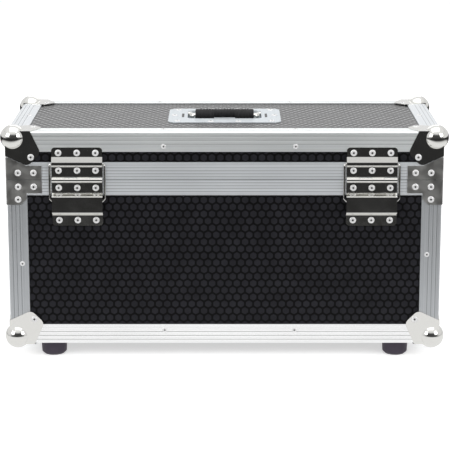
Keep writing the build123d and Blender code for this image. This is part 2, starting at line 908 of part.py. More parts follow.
def pan(x, height, up):
    """Pressed pan open towards the split, with a flange on its three other sides."""
    outer = plate + latch_flange
    with BuildPart() as pressing:
        with BuildSketch(latch_plane(x)):
            with Locations((0, up * (brace_split_gap + height + outer) / 2)):
                Rectangle(latch_pan_width + 2 * outer, height + outer - brace_split_gap)
        extrude(amount=plate)
        far_corners = pressing.edges().filter_by(Axis.Y).sort_by_distance((x, half_depth, split))[-4:]
        fillet(far_corners, latch_flange_radius)
        with BuildSketch(latch_plane(x)):
            with Locations((0, up * (brace_split_gap + height + plate) / 2)):
                Rectangle(latch_pan_width + 2 * plate, height + plate - brace_split_gap)
        extrude(amount=-latch_pan_depth - plate)
        with BuildSketch(latch_plane(x, -plate)):
            Rectangle(latch_pan_width, 2 * height)
        extrude(amount=-latch_pan_depth - plate, mode=Mode.SUBTRACT)
    return pressing.part


def hook_profile(plane):
    """Side view of the hook when engaged: straight shank, jog outward, nose over the shelf."""
    with BuildSketch(plane) as profile:
        with BuildLine():
            Polyline(
                (hook_pivot_depth, -hook_pivot_drop),
                (hook_pivot_depth, hook_jog_start),
                (hook_front_depth, hook_jog_end),
                (hook_front_depth, hook_reach),
                (hook_nose_depth, hook_reach),
            )
            offset(amount=hook_thickness / 2, kind=Kind.INTERSECTION)
        make_face()
    return profile.sketch


for name, x in LATCH_PLACES.items():
    rotor_plane = Plane(
        origin=(x, half_depth, split - rotor_drop), x_dir=(-1, 0, 0), z_dir=(0, 1, 0)
    )
    floor_depth = latch_pan_depth + plate
    ear_inner = hook_half_width + running_gap

    # Dish with the rotor's hole, and two ears that hold the hook's pin
    with BuildPart() as latch_dish:
        add(pan(x, latch_pan_height, -1))
        with BuildSketch(rotor_plane):
            Circle(spindle_radius + spindle_clearance)
        extrude(amount=-floor_depth, mode=Mode.SUBTRACT)
        for side_sign in (-1, 1):
            with BuildSketch(latch_section(x + side_sign * (ear_inner + ear_thickness / 2))):
                with Locations((hook_pivot_depth, -hook_pivot_drop)):
                    Circle(ear_radius)
                with Locations((hook_pivot_depth, -hook_pivot_drop)):
                    Rectangle(
                        latch_pan_depth - hook_pivot_depth + plate / 2,
                        2 * ear_radius,
                        align=(Align.MIN, Align.CENTER),
                    )
            extrude(amount=ear_thickness / 2, both=True)
        with BuildSketch(latch_section(x)):
            with Locations((hook_pivot_depth, -hook_pivot_drop)):
                Circle(hook_pin_radius)
        extrude(amount=ear_inner + ear_thickness, both=True)
    latch_dish.part.label = f"latch_dish_{name}"
    export_step(latch_dish.part, f"parts/latch_dish_{name}.step")

    # Keeper: the same pressing in the lid, with the shelf that the hook's nose pulls on
    with BuildPart() as latch_keeper:
        add(pan(x, keeper_pan_height, 1))
        with BuildSketch(latch_plane(x, floor_depth)):
            with Locations((0, shelf_top - shelf_thickness / 2)):
                Rectangle(2 * shelf_half_width, shelf_thickness)
        extrude(amount=floor_depth - shelf_depth)
    latch_keeper.part.label = f"latch_keeper_{name}"
    export_step(latch_keeper.part, f"parts/latch_keeper_{name}.step")

    # Rotor: disc with two lugs for the wings' pins, spindle through the dish, nut behind it
    nut_front = floor_depth + running_gap
    with BuildPart() as latch_rotor:
        with BuildSketch(rotor_plane.offset(-rotor_front)):
            Circle(rotor_radius)
        extrude(amount=-rotor_thickness)
        with BuildSketch(rotor_plane.offset(-rotor_front)):
            Circle(spindle_radius)
        extrude(amount=rotor_front - nut_front - nut_thickness)
        with BuildSketch(rotor_plane.offset(-nut_front)):
            RegularPolygon(nut_radius, 6)
        extrude(amount=-nut_thickness)
        with BuildSketch(rotor_plane.offset(-rotor_front)):
            for up in (-1, 1):
                with Locations((0, up * (lug_inner + lug_outer) / 2)):
                    Rectangle(2 * lug_half_width, lug_outer - lug_inner)
        extrude(amount=rotor_front - lug_front)
        for across in (-1, 1):
            pin_place = Plane(
                origin=(x + across * wing_axis_offset, half_depth - wing_axis_depth, split - rotor_drop),
                x_dir=(1, 0, 0),
                z_dir=(0, 0, 1),
            )
            with BuildSketch(pin_place):
                Circle(wing_pin_radius + wing_pin_clearance)
            extrude(amount=lug_outer + cut_margin, both=True, mode=Mode.SUBTRACT)
    latch_rotor.part.label = f"latch_rotor_{name}"
    export_step(latch_rotor.part, f"parts/latch_rotor_{name}.step")

    # Two wings folded flat beside the rotor's middle line, each on its own pin
    for wing_name, across in (("west", -1), ("east", 1)):
        plate_back = wing_axis_depth + wing_thickness / 2
        stem_end = wing_start + wing_overlap
        pin_plane = Plane(
            origin=(x + across * wing_axis_offset, half_depth - wing_axis_depth, split - rotor_drop),
            x_dir=(1, 0, 0),
            z_dir=(0, 0, 1),
        )
        with BuildPart() as latch_wing:
            with BuildSketch(rotor_plane.offset(-plate_back)):
                Circle(wing_radius)
                with Locations((across * (wing_radius - wing_start), 0)):
                    Rectangle(
                        2 * wing_radius,
                        2 * (wing_radius + cut_margin),
                        mode=Mode.SUBTRACT,
                    )
            extrude(amount=wing_thickness)
            chamfer(latch_wing.edges().filter_by(Axis.Y), wing_corner_cut)
            with BuildSketch(rotor_plane.offset(-plate_back)):
                with Locations((-across * (wing_axis_offset + stem_end) / 2, 0)):
                    Rectangle(stem_end - wing_axis_offset, 2 * wing_stem_half)
            extrude(amount=wing_thickness)
            with BuildSketch(pin_plane):
                Circle(wing_pin_radius)
            extrude(amount=lug_outer, both=True)
        latch_wing.part.label = f"latch_wing_{name}_{wing_name}"
        export_step(latch_wing.part, f"parts/latch_wing_{name}_{wing_name}.step")

    # Hook, drawn where it engages and leaned out about its pin to where it is undone
    lean = math.radians(hook_undone_tilt)
    inward = Vector(0, -math.cos(lean), math.sin(lean))
    upward = Vector(0, math.sin(lean), math.cos(lean))
    pivot = Vector(x, half_depth - hook_pivot_depth, split - hook_pivot_drop)
    leaned_origin = pivot - inward * hook_pivot_depth + upward * hook_pivot_drop
    leaned = Plane(origin=leaned_origin, x_dir=inward, z_dir=(-1, 0, 0))
    with BuildPart() as latch_hook:
        extrude(hook_profile(leaned), amount=hook_half_width, both=True)
        with BuildSketch(leaned):
            with Locations((hook_pivot_depth, -hook_pivot_drop)):
                Circle(hook_barrel_radius)
        extrude(amount=hook_half_width, both=True)
        with BuildSketch(leaned):
            with Locations((hook_pivot_depth, -hook_pivot_drop)):
                Circle(hook_pin_radius + hook_pin_clearance)
        extrude(amount=hook_half_width, both=True, mode=Mode.SUBTRACT)
        slot_half = spindle_radius + hook_slot_clearance
        with BuildSketch(Plane(origin=leaned_origin, x_dir=(-1, 0, 0), z_dir=inward * -1)):
            with Locations((0, -rotor_drop)):
                Rectangle(2 * slot_half, hook_slot_height)
        extrude(amount=-2 * hook_pivot_depth, mode=Mode.SUBTRACT)
    latch_hook.part.label = f"latch_hook_{name}"
    export_step(latch_hook.part, f"parts/latch_hook_{name}.step")
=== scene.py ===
import math
from collections import namedtuple

import bmesh
import bpy
import numpy as np
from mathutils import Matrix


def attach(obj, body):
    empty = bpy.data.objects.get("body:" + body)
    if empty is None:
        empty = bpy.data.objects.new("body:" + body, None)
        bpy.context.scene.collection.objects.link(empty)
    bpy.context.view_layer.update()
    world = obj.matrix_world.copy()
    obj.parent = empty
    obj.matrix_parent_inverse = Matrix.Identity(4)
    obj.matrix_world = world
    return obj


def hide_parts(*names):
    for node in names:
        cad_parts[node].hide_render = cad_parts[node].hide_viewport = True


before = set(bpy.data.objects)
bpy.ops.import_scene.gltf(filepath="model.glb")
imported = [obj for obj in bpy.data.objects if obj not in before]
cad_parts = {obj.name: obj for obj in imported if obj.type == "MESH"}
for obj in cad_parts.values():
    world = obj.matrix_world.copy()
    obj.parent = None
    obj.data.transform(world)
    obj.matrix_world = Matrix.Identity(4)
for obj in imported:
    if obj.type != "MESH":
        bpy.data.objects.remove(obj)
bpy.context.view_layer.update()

bl_info = {
    "name": "Lighting flight case",
    "version": (1, 0, 0),
    "blender": (4, 5, 0),
    "location": "3D View > Sidebar > Flight case",
    "description": "Dresses the flight case: laminate, extrusions, hardware, rivets and foam",
    "category": "Object",
}

# Sizes and places that the dressing shares with the solids, in metres. The axes are those of
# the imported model: x along the case, y from the hinge side to the latch side, z up.
HALF_WIDTH = 0.3225
HALF_DEPTH = 0.146
BODY_BOTTOM = 0.024
SPLIT = 0.276
BODY_TOP = 0.348
PLATE = 0.0012
SECTION_DEPTH = 0.010
SOFT_GAP = 0.0003
FOAM_THICKNESS = 0.0102
HINGE_X = (-0.218, 0.218)
LATCH_X = (-0.190, 0.190)
FOOT_X = (-0.260, 0.260)
FOOT_Y = (-0.112, 0.112)

# Each side: start corner, direction along it, inward direction, length
SIDES = {
    "hinge": ((-HALF_WIDTH, -HALF_DEPTH), (1, 0), (0, 1), 2 * HALF_WIDTH),
    "right": ((HALF_WIDTH, -HALF_DEPTH), (0, 1), (-1, 0), 2 * HALF_DEPTH),
    "latch": ((HALF_WIDTH, HALF_DEPTH), (-1, 0), (0, -1), 2 * HALF_WIDTH),
    "left": ((-HALF_WIDTH, HALF_DEPTH), (0, -1), (1, 0), 2 * HALF_DEPTH),
}
LONG_SIDES = ("hinge", "latch")
SHORT_SIDES = ("left", "right")
HALVES = ("base", "lid")

# Colours of finishes that stay as they are; the dimples' colour is a painted highlight, and the
# handle slots' and rivet hollows' colours are painted shade
DIMPLE_HIGHLIGHT_COLOUR = (0.20, 0.20, 0.21)
HANDLE_PLATE_COLOURS = ((0.58, 0.62, 0.65), (0.63, 0.67, 0.70))
SLOT_SHADE_COLOUR = (0.02, 0.02, 0.02)
HOLLOW_SHADE_COLOUR = (0.05, 0.048, 0.045)
GRIP_COLOUR = (0.006, 0.006, 0.007)
FOOT_COLOUR = (0.052, 0.043, 0.060)
FLOOR_COLOUR = (0.82, 0.82, 0.82)
WHITE = (1, 1, 1)
BLACK = (0, 0, 0)

# A sheet of foam: a corner of its back, two directions along it, the direction of its front,
# its size along the first two, and its back's pockets as spans along those and a depth
Sheet = namedtuple("Sheet", "corner along up inward length height pockets")


# Settings that a user would change

class LaminateSettings(bpy.types.PropertyGroup):
    cell_pitch: bpy.props.FloatProperty(
        name="Cell pitch", description="Distance from one cell to the next in a row",
        default=0.0123, min=0.002, max=0.05, unit="LENGTH", precision=4)
    line_width: bpy.props.FloatProperty(
        name="Line width", description="Width of the lines between the cells",
        default=0.0028, min=0.0002, max=0.006, unit="LENGTH", precision=4)
    cell_colour: bpy.props.FloatVectorProperty(
        name="Cell colour", description="Colour of the laminate inside a cell",
        subtype="COLOR", default=(0.0175, 0.0175, 0.0215), min=0, max=1)
    line_colour: bpy.props.FloatVectorProperty(
        name="Line colour", description="Colour of the lines between the cells",
        subtype="COLOR", default=(0.0016, 0.0016, 0.0020), min=0, max=1)


class MetalSettings(bpy.types.PropertyGroup):
    anodised_colour: bpy.props.FloatVectorProperty(
        name="Anodised colour", description="Colour of the edge extrusions",
        subtype="COLOR", default=(0.72, 0.745, 0.77), min=0, max=1)
    plated_colour: bpy.props.FloatVectorProperty(
        name="Plated colour", description="Colour of the bright plated pressings",
        subtype="COLOR", default=(0.76, 0.755, 0.73), min=0, max=1)
    zinc_colour: bpy.props.FloatVectorProperty(
        name="Zinc colour", description="Colour of the latch's moving parts, pins and screws",
        subtype="COLOR", default=(0.70, 0.71, 0.72), min=0, max=1)
    rivet_colour: bpy.props.FloatVectorProperty(
        name="Rivet colour", description="Colour of the rivet heads",
        subtype="COLOR", default=(0.86, 0.86, 0.86), min=0, max=1)


class RivetSettings(bpy.types.PropertyGroup):
    head_radius: bpy.props.FloatProperty(
        name="Head radius", description="Radius of a large rivet's head",
        default=0.0049, min=0.001, max=0.01, unit="LENGTH", precision=4)
    small_radius: bpy.props.FloatProperty(
        name="Small head radius", description="Radius of a rivet's head on the extrusions",
        default=0.0038, min=0.001, max=0.01, unit="LENGTH", precision=4)
    segments: bpy.props.IntProperty(
        name="Segments", description="Facets round a rivet's head", default=18, min=8, max=48)


class FoamSettings(bpy.types.PropertyGroup):
    colour: bpy.props.FloatVectorProperty(
        name="Foam colour", description="Colour of the lining",
        subtype="COLOR", default=(0.035, 0.036, 0.040), min=0, max=1)
    edge_radius: bpy.props.FloatProperty(
        name="Edge radius", description="Rounding of the foam's edges",
        default=0.0022, min=0.0, max=0.005, unit="LENGTH", precision=4)


class StageSettings(bpy.types.PropertyGroup):
    camera_distance: bpy.props.FloatProperty(
        name="Camera distance", description="Distance of the camera from the case's middle",
        default=2.839, min=0.5, max=10, unit="LENGTH")
    camera_height: bpy.props.FloatProperty(
        name="Camera height", description="Height of the camera above the floor",
        default=0.829, min=0, max=5, unit="LENGTH")
    camera_pitch: bpy.props.FloatProperty(
        name="Camera pitch", description="Angle by which the camera looks down",
        default=math.radians(13), unit="ROTATION")
    lens: bpy.props.FloatProperty(
        name="Lens", description="Focal length in millimetres", default=148.6, min=10, max=500)


class CaseSettings(bpy.types.PropertyGroup):
    laminate: bpy.props.PointerProperty(type=LaminateSettings)
    metal: bpy.props.PointerProperty(type=MetalSettings)
    rivet: bpy.props.PointerProperty(type=RivetSettings)
    foam: bpy.props.PointerProperty(type=FoamSettings)
    stage: bpy.props.PointerProperty(type=StageSettings)


def settings():
    """The scene's own copy of the settings above."""
    return bpy.context.scene.flight_case


# Shader wiring

class Wiring:
    """A node tree with short ways to add and join its nodes."""

    def __init__(self, tree):
        self.tree = tree
        tree.nodes.clear()

    def add(self, kind, values=(), **options):
        """Adds a node with its options, and fills its sockets by place or by name."""
        node = self.tree.nodes.new("ShaderNode" + kind)
        for name, option in options.items():
            setattr(node, name, option)
        for key, value in values.items() if isinstance(values, dict) else enumerate(values):
            self.fill(node.inputs[key], value)
        return node

    def fill(self, socket, value):
        """Puts a number or colour into a socket, or joins another socket to it."""
        if isinstance(value, bpy.types.NodeSocket):
            self.tree.links.new(value, socket)
        elif hasattr(socket.default_value, "__len__"):
            numbers = tuple(value)
            socket.default_value = numbers + (1,) * (len(socket.default_value) - len(numbers))
        else:
            socket.default_value = value

    def math(self, operation, *values):
        return self.add("Math", values, operation=operation).outputs[0]

    def more(self, total, amount, share):
        """The total plus a share of the amount."""
        return self.math("ADD", total, self.math("MULTIPLY", amount, share))

    def vector(self, operation, *values):
        node = self.add("VectorMath", values, operation=operation)
        return node.outputs["Value" if operation == "LENGTH" else "Vector"]

    def shade(self, colour, brightness):
        """A colour made darker or lighter by a factor."""
        values = {"Vector": colour, "Scale": brightness}
        return self.add("VectorMath", values, operation="SCALE").outputs["Vector"]

    def split(self, vector):
        return self.add("SeparateXYZ", (vector,)).outputs

    def combine(self, x, y, z):
        return self.add("CombineXYZ", (x, y, z)).outputs[0]

    def ramp(self, value, low, high, to_low=0.0, to_high=1.0):
        """Eases a value from one span to another."""
        values = (value, low, high, to_low, to_high)
        return self.add("MapRange", values, interpolation_type="SMOOTHSTEP").outputs[0]

    def mix(self, factor, first, second):
        """A colour between two, by the Mix node's colour sockets."""
        return self.add("Mix", {0: factor, 6: first, 7: second}, data_type="RGBA").outputs[2]


class Shader(Wiring):
    """A material of one surface shader, with its patterns on object coordinates."""

    def __init__(self, name):
        self.material = bpy.data.materials.new(name)
        self.material.use_nodes = True
        super().__init__(self.material.node_tree)
        self.surface = self.add("BsdfPrincipled")
        self.add("OutputMaterial", {"Surface": self.surface.outputs["BSDF"]})
        self.place = self.add("TexCoord").outputs["Object"]

    def set(self, **values):
        """Sets sockets of the surface; underscores in a name stand for spaces."""
        for name, value in values.items():
            self.fill(self.surface.inputs[name.replace("_", " ")], value)

    def noise(self, scales, detail, seed=0.0):
        """Noise between 0 and 1, with one scale or a scale for each axis."""
        scales = (scales,) * 3 if isinstance(scales, (int, float)) else scales
        values = {"Vector": self.vector("MULTIPLY", self.place, scales), "W": seed,
                  "Scale": 1.0, "Detail": detail}
        return self.add("TexNoise", values, noise_dimensions="4D").outputs["Fac"]

    def bump(self, height, distance):
        values = {"Strength": 1.0, "Distance": distance, "Height": height}
        self.set(Normal=self.add("Bump", values).outputs[0])


def laminate(name, across, along, dimpled=False):
    """Black board laminate with rounded hexagon cells, drawn in the plane of two axes.

    The cells stand on two rectangular lattices, one shifted by half its spacing both ways, and
    each point is measured from its cell's centre. A cell's outline is seven parts hexagon,
    max(|u|, |u|/2 + |v| * sqrt(3)/2), and three parts circle. A dimpled board also has
    smoother cells, with a shiny oval spot in the middle of each, whose lighter colour is a
    painted highlight.
    """
    look = settings().laminate
    shader = Shader(name)
    pitch = look.cell_pitch
    edge = pitch / 2 - look.line_width / 2
    if dimpled:
        line_rough, cell_rough, rise, gloss = 0.36, 0.28, 0.10, 0.34
    else:
        line_rough, cell_rough, rise, gloss = 0.56, 0.42, 0.25, 0.12

    axes = shader.split(shader.place)
    point = shader.combine(axes[across], axes[along], 0.0)
    half_cell = (pitch / 2, pitch * math.sqrt(3) / 2, 1.0)
    cells = []
    for shift in ((0.0, 0.0, 0.0), (*half_cell[:2], 0.0)):
        shifted = shader.vector("ADD", point, shift)
        cells.append(shader.vector("WRAP", shifted, half_cell, [-size for size in half_cell]))
    hexagon = shader.math("MINIMUM", *(hexagon_distance(shader, cell) for cell in cells))
    circle = shader.math("MINIMUM", *(shader.vector("LENGTH", cell) for cell in cells))
    outline = shader.more(shader.math("MULTIPLY", hexagon, 0.7), circle, 0.3)

    inside = shader.ramp(outline, edge + 0.0004, edge - 0.0004)
    dome = shader.ramp(outline, edge + 0.0008, edge * 0.4)
    cloud = shader.noise(40, 4.0)
    grain = shader.noise(2500, 2.0)
    colour = shader.mix(inside, look.line_colour, look.cell_colour)
    rough = shader.ramp(inside, 0.0, 1.0, line_rough, cell_rough)
    height = shader.more(shader.math("MULTIPLY", dome, rise), grain, 0.012)
    if dimpled:
        ovals = [shader.vector("MULTIPLY", cell, (1.0, 0.6, 1.0)) for cell in cells]
        oval = shader.math("MINIMUM", *(shader.vector("LENGTH", cell) for cell in ovals))
        dimple_and_highlight = shader.ramp(oval, pitch * 0.25, pitch * 0.11)
        # The spot's lighter colour, given as metal, is a painted highlight; roughness and bump give
        # its gloss and dip.
        colour = shader.mix(dimple_and_highlight, colour, DIMPLE_HIGHLIGHT_COLOUR)
        rough = shader.more(rough, dimple_and_highlight, -0.14)
        height = shader.more(height, dimple_and_highlight, -0.15)
        shader.set(Metallic=dimple_and_highlight)
    rough = shader.math("ADD", rough, shader.ramp(cloud, 0.3, 0.7, -0.03, 0.03))
    shader.set(Base_Color=shader.shade(colour, shader.ramp(cloud, 0.25, 0.75, 0.75, 1.2)),
               Roughness=rough, Specular_IOR_Level=gloss)
    shader.bump(height, 0.001)
    return shader.material


def hexagon_distance(shader, cell):
    """Distance from a hexagon's centre: max(|u|, |u|/2 + |v| * sqrt(3)/2)."""
    u, v = shader.split(shader.vector("ABSOLUTE", cell))[:2]
    slant = shader.more(shader.math("MULTIPLY", u, 0.5), v, math.sqrt(3) / 2)
    return shader.math("MAXIMUM", u, slant)


def anodised(name, scales, painted_light_tint, seed, ribs, first=0.0065, pitch=0.006, metallic=0.62,
             rough=0.34):
    """Satin anodised aluminium with fine die lines along the extrusion, and its ribs.

    A rib's place is the distance from an outer face, | |coordinate| - start |; the distance to
    the nearest of the grooves repeats with the pitch. The grooves are painted shade with a painted
    highlight on their edges, and stay 3 to 22 mm from that face. Ribs from the split also get a
    painted shade line where the lid meets the base.
    """
    shader = Shader(name)
    # The factor makes lighter and darker copies of one anodised finish, as painted light.
    colour = [min(1.0, value * painted_light_tint) for value in settings().metal.anodised_colour]
    lines = shader.noise(scales, 4.0, seed)
    cloud = shader.noise(6, 2.0, seed + 3)
    axes = shader.split(shader.place)
    shade = shader.ramp(lines, 0.3, 0.7, 0.86, 1.0)
    for axis, start in ribs:
        place = shader.math("ABSOLUTE", axes[axis])
        depth = shader.math("ABSOLUTE", shader.math("SUBTRACT", place, start))
        near = shader.math("PINGPONG", shader.math("SUBTRACT", depth, first), pitch / 2)
        within = shader.math("MULTIPLY", shader.ramp(depth, 0.0025, 0.0035),
                             shader.ramp(depth, 0.0225, 0.0215))
        # Grooves are painted shade and their edges a painted highlight.
        groove_shade = shader.math("MULTIPLY", shader.ramp(near, 0.0010, 0.0005), within)
        edge = shader.math("MULTIPLY", shader.ramp(near, 0.0021, 0.0012), within)
        shade = shader.more(shader.more(shade, groove_shade, -0.34), edge, 0.09)
        # A painted shade line along the split, where the lid meets the base.
        if start == SPLIT:
            shade = shader.more(shade, shader.ramp(depth, 0.0012, 0.0006), -0.5)
    sheen = shader.ramp(lines, 0.2, 0.8, rough, rough + 0.12)
    shader.set(Base_Color=shader.shade(colour, shade), Metallic=metallic,
               Roughness=shader.math("ADD", sheen, shader.ramp(cloud, 0.3, 0.7, -0.03, 0.03)))
    shader.bump(lines, 0.00006)
    return shader.material


def plated(name, colour, rough, metallic=1.0):
    """Bright plating with faint ripples from the press and a little haze."""
    shader = Shader(name)
    cloud = shader.noise(60, 3.0)
    duller = [value * 0.93 for value in colour]
    shader.set(Base_Color=shader.mix(cloud, duller, colour), Metallic=metallic,
               Roughness=shader.ramp(cloud, 0.3, 0.7, rough * 0.8, rough * 1.25))
    shader.bump(shader.noise(180, 2.0, 5.0), 0.00003)
    return shader.material


def handle_plate(name):
    """Satin plate of the handle, with the slots beside the pan that its springs sit in drawn as
    painted shade and a shallow dip in the bump.

    The slots lie where the distances past half their width and past half their length are both
    below zero.
    """
    middle, half_width, half_length, soft = 0.0640, 0.0017, 0.0165, 0.0003
    shader = Shader(name)
    x, y = (shader.math("ABSOLUTE", axis) for axis in shader.split(shader.place)[:2])
    off_middle = shader.math("ABSOLUTE", shader.math("SUBTRACT", x, middle))
    past = shader.math("MAXIMUM", shader.math("SUBTRACT", off_middle, half_width),
                       shader.math("SUBTRACT", y, half_length))
    slot_and_shade = shader.ramp(past, soft, -soft)
    cloud = shader.noise(60, 3.0)
    satin = shader.mix(cloud, *HANDLE_PLATE_COLOURS)
    # The slots' near-black colour is painted shade.
    shader.set(Base_Color=shader.mix(slot_and_shade, satin, SLOT_SHADE_COLOUR), Metallic=0.55,
               Roughness=shader.ramp(cloud, 0.3, 0.7, 0.40, 0.50))
    shader.bump(shader.math("MULTIPLY", slot_and_shade, -1.0), 0.0006)
    return shader.material


def moulded(name, colour, rough, grain_scale):
    """Moulded rubber or plastic with a fine grain and slightly uneven colour."""
    shader = Shader(name)
    cloud = shader.noise(90, 3.0)
    lighter = [value * 1.35 for value in colour]
    shader.set(Base_Color=shader.mix(cloud, colour, lighter), Specular_IOR_Level=0.3,
               Roughness=shader.ramp(cloud, 0.3, 0.7, rough - 0.05, rough + 0.08))
    shader.bump(shader.noise(grain_scale, 2.0, 2.0), 0.00005)
    return shader.material


def foam_look(name):
    """Closed-cell foam: small pores darkened as painted shade, soft colour changes and a faint
    sheen.
    """
    shader = Shader(name)
    colour = settings().foam.colour
    pores = shader.add("TexVoronoi", {"Vector": shader.place, "Scale": 900.0}, feature="F1")
    pore = shader.ramp(pores.outputs["Distance"], 0.05, 0.45)
    # Pores are darker in colour as painted shade, and dip in the bump.
    pore_shade = [value * 0.45 for value in colour]
    light = [value * 1.3 for value in colour]
    shaded = shader.mix(shader.ramp(shader.noise(35, 4.0), 0.3, 0.7), colour, light)
    shader.set(Base_Color=shader.mix(pore, pore_shade, shaded), Roughness=0.92,
               Sheen_Weight=0.25, Sheen_Roughness=0.6)
    shader.bump(pore, 0.0003)
    return shader.material


# Meshes from whole arrays

def paint(names, material):
    """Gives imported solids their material; a missing one stops the script."""
    for name in names:
        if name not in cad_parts:
            raise RuntimeError(f"the packed model has no node {name}")
        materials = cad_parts[name].data.materials
        materials.clear()
        materials.append(material)


def grid_faces(rows, columns, close_rows=False, close_columns=False):
    """Quads over a grid of points; a closed direction joins its last line to its first."""
    row = np.arange(rows if close_rows else rows - 1)[:, None]
    column = np.arange(columns if close_columns else columns - 1)[None, :]
    next_row = (row + 1) % rows
    next_column = (column + 1) % columns
    corners = [row * columns + column, row * columns + next_column,
               next_row * columns + next_column, next_row * columns + column]
    return np.stack(np.broadcast_arrays(*corners), -1).reshape(-1, 4)


def outward(points, faces):
    """Turns the faces of a closed shape outward, by the sign of the volume they enclose."""
    a, b, c, d = (points[faces[:, corner]] for corner in range(4))
    volume = (np.cross(a, b) * c).sum() + (np.cross(a, c) * d).sum()
    return faces if volume > 0 else faces[:, ::-1]


def add_piece(name, points, faces, body, materials, shades=None, sharp=None):
    """Makes one smooth object of a point array and a quad array, and lets it ride its body.

    The shades are the faces' material numbers, and edges over the sharp angle, in degrees,
    stay hard.
    """
    mesh = bpy.data.meshes.new(name)
    mesh.from_pydata(points.tolist(), [], faces.tolist())
    for material in materials:
        mesh.materials.append(material)
    if shades is not None:
        mesh.polygons.foreach_set("material_index", shades.astype(np.int32))
    mesh.polygons.foreach_set("use_smooth", np.full(len(mesh.polygons), True))
    close_seams(mesh)
    if sharp is not None:
        mesh.set_sharp_from_angle(angle=math.radians(sharp))
    piece = bpy.data.objects.new(name, mesh)
    bpy.context.scene.collection.objects.link(piece)
    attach(piece, body)
    return piece


def close_seams(mesh):
    """Merges the doubled points at seams and poles, which also drops faces without area."""
    work = bmesh.new()
    work.from_mesh(mesh)
    bmesh.ops.remove_doubles(work, verts=work.verts, dist=1e-7)
    bmesh.ops.dissolve_degenerate(work, edges=work.edges, dist=1e-8)
    work.to_mesh(mesh)
    work.free()
    mesh.update()


def turned(profile, segments):
    """A profile of radius and height turned about the z axis: x = r cos t, y = r sin t, z = h."""
    profile = np.asarray(profile, float)
    turn = np.linspace(0, 2 * np.pi, segments, endpoint=False)
    radius = profile[:, 0][:, None]
    height = np.repeat(profile[:, 1][:, None], segments, 1)
    points = np.stack([radius * np.cos(turn), radius * np.sin(turn), height], -1)
    faces = grid_faces(len(profile), segments, close_columns=True)
    points = points.reshape(-1, 3)
    return points, outward(points, faces)


def spread(points, faces, places):
    """Copies a shape to places of origin and normal: its z axis goes along each normal."""
    places = np.asarray(places, float)
    origin, normal = places[:, :3], places[:, 3:]
    helper = np.where(np.abs(normal[:, 2:3]) > 0.9, [[1.0, 0, 0]], [[0.0, 0, 1]])
    side = np.cross(helper, normal)
    side /= np.linalg.norm(side, axis=1, keepdims=True)
    up = np.cross(normal, side)
    basis = np.stack([side, up, normal], 1)
    copies = origin[:, None, :] + np.einsum("vk,pkc->pvc", points, basis)
    offsets = np.arange(len(places))[:, None, None] * len(points)
    return copies.reshape(-1, 3), (faces[None] + offsets).reshape(-1, faces.shape[1])


def rounded_path(corners, radii, steps=8):
    """A path through corners whose bends are arcs of the given radii.

    Each arc starts and ends where it touches the two runs, at radius * tan(half the turn) from
    the corner, and its points turn evenly about its centre.
    """
    corners = np.asarray(corners, float)
    pieces = [corners[:1]]
    for before, corner, after, radius in zip(corners, corners[1:], corners[2:], radii):
        inward = (before - corner) / np.linalg.norm(before - corner)
        leaving = (after - corner) / np.linalg.norm(after - corner)
        half = math.acos(np.clip(-np.dot(inward, leaving), -1, 1)) / 2
        middle = inward + leaving
        middle /= np.linalg.norm(middle)
        centre = corner + middle * radius / math.cos(half)
        turn = np.linspace(-half, half, steps + 1)[:, None]
        sideways = (leaving - inward) / np.linalg.norm(leaving - inward)
        pieces.append(centre - radius * np.cos(turn) * middle + radius * np.sin(turn) * sideways)
    pieces.append(corners[-1:])
    return np.concatenate(pieces)


def tube(path, normal, radius, segments, closed=False):
    """A round rod along a flat path: centre + r cos t * side + r sin t * normal.

    The side is the normal crossed with the path's direction, and an open rod's ends close to
    a point at the path's ends.
    """
    path = np.asarray(path, float)
    normal = np.asarray(normal, float) / np.linalg.norm(normal)
    if closed:
        tangent = np.roll(path, -1, 0) - np.roll(path, 1, 0)
    else:
        tangent = np.gradient(path, axis=0)
    tangent /= np.linalg.norm(tangent, axis=1, keepdims=True)
    side = np.cross(normal, tangent)
    turn = np.linspace(0, 2 * np.pi, segments, endpoint=False)
    ring = np.cos(turn)[None, :, None] * side[:, None] + np.sin(turn)[None, :, None] * normal
    points = path[:, None] + radius * ring
    if not closed:
        points = np.concatenate([np.repeat(path[:1][:, None], segments, 1), points,
                                 np.repeat(path[-1:][:, None], segments, 1)])
    faces = grid_faces(len(points), segments, close_rows=closed, close_columns=True)
    points = points.reshape(-1, 3)
    return points, outward(points, faces)


def face_point(side, along, z, proud=0.0):
    """A place and outward normal on a side's outer face, as six numbers."""
    (x, y), run, inward, length = SIDES[side]
    place_x = x + run[0] * along - inward[0] * proud
    place_y = y + run[1] * along - inward[1] * proud
    return (place_x, place_y, z, -inward[0], -inward[1], 0)


# Operators, one for each group of pieces

class DressBoards(bpy.types.Operator):
    """Hexagon laminate on the boards of the base and the lid"""
    bl_idname = "flight_case.boards"
    bl_label = "Boards"

    def execute(self, context):
        for name, sides, across in (("laminate_long_walls", LONG_SIDES, 0),
                                    ("laminate_short_walls", SHORT_SIDES, 1)):
            paint([f"{half}_wall_{side}" for half in HALVES for side in sides],
                  laminate(name, across, 2))
        # The level boards have dimples whose colour is a painted highlight.
        paint(["lid_top", "base_floor"], laminate("laminate_level", 0, 1, dimpled=True))
        return {"FINISHED"}


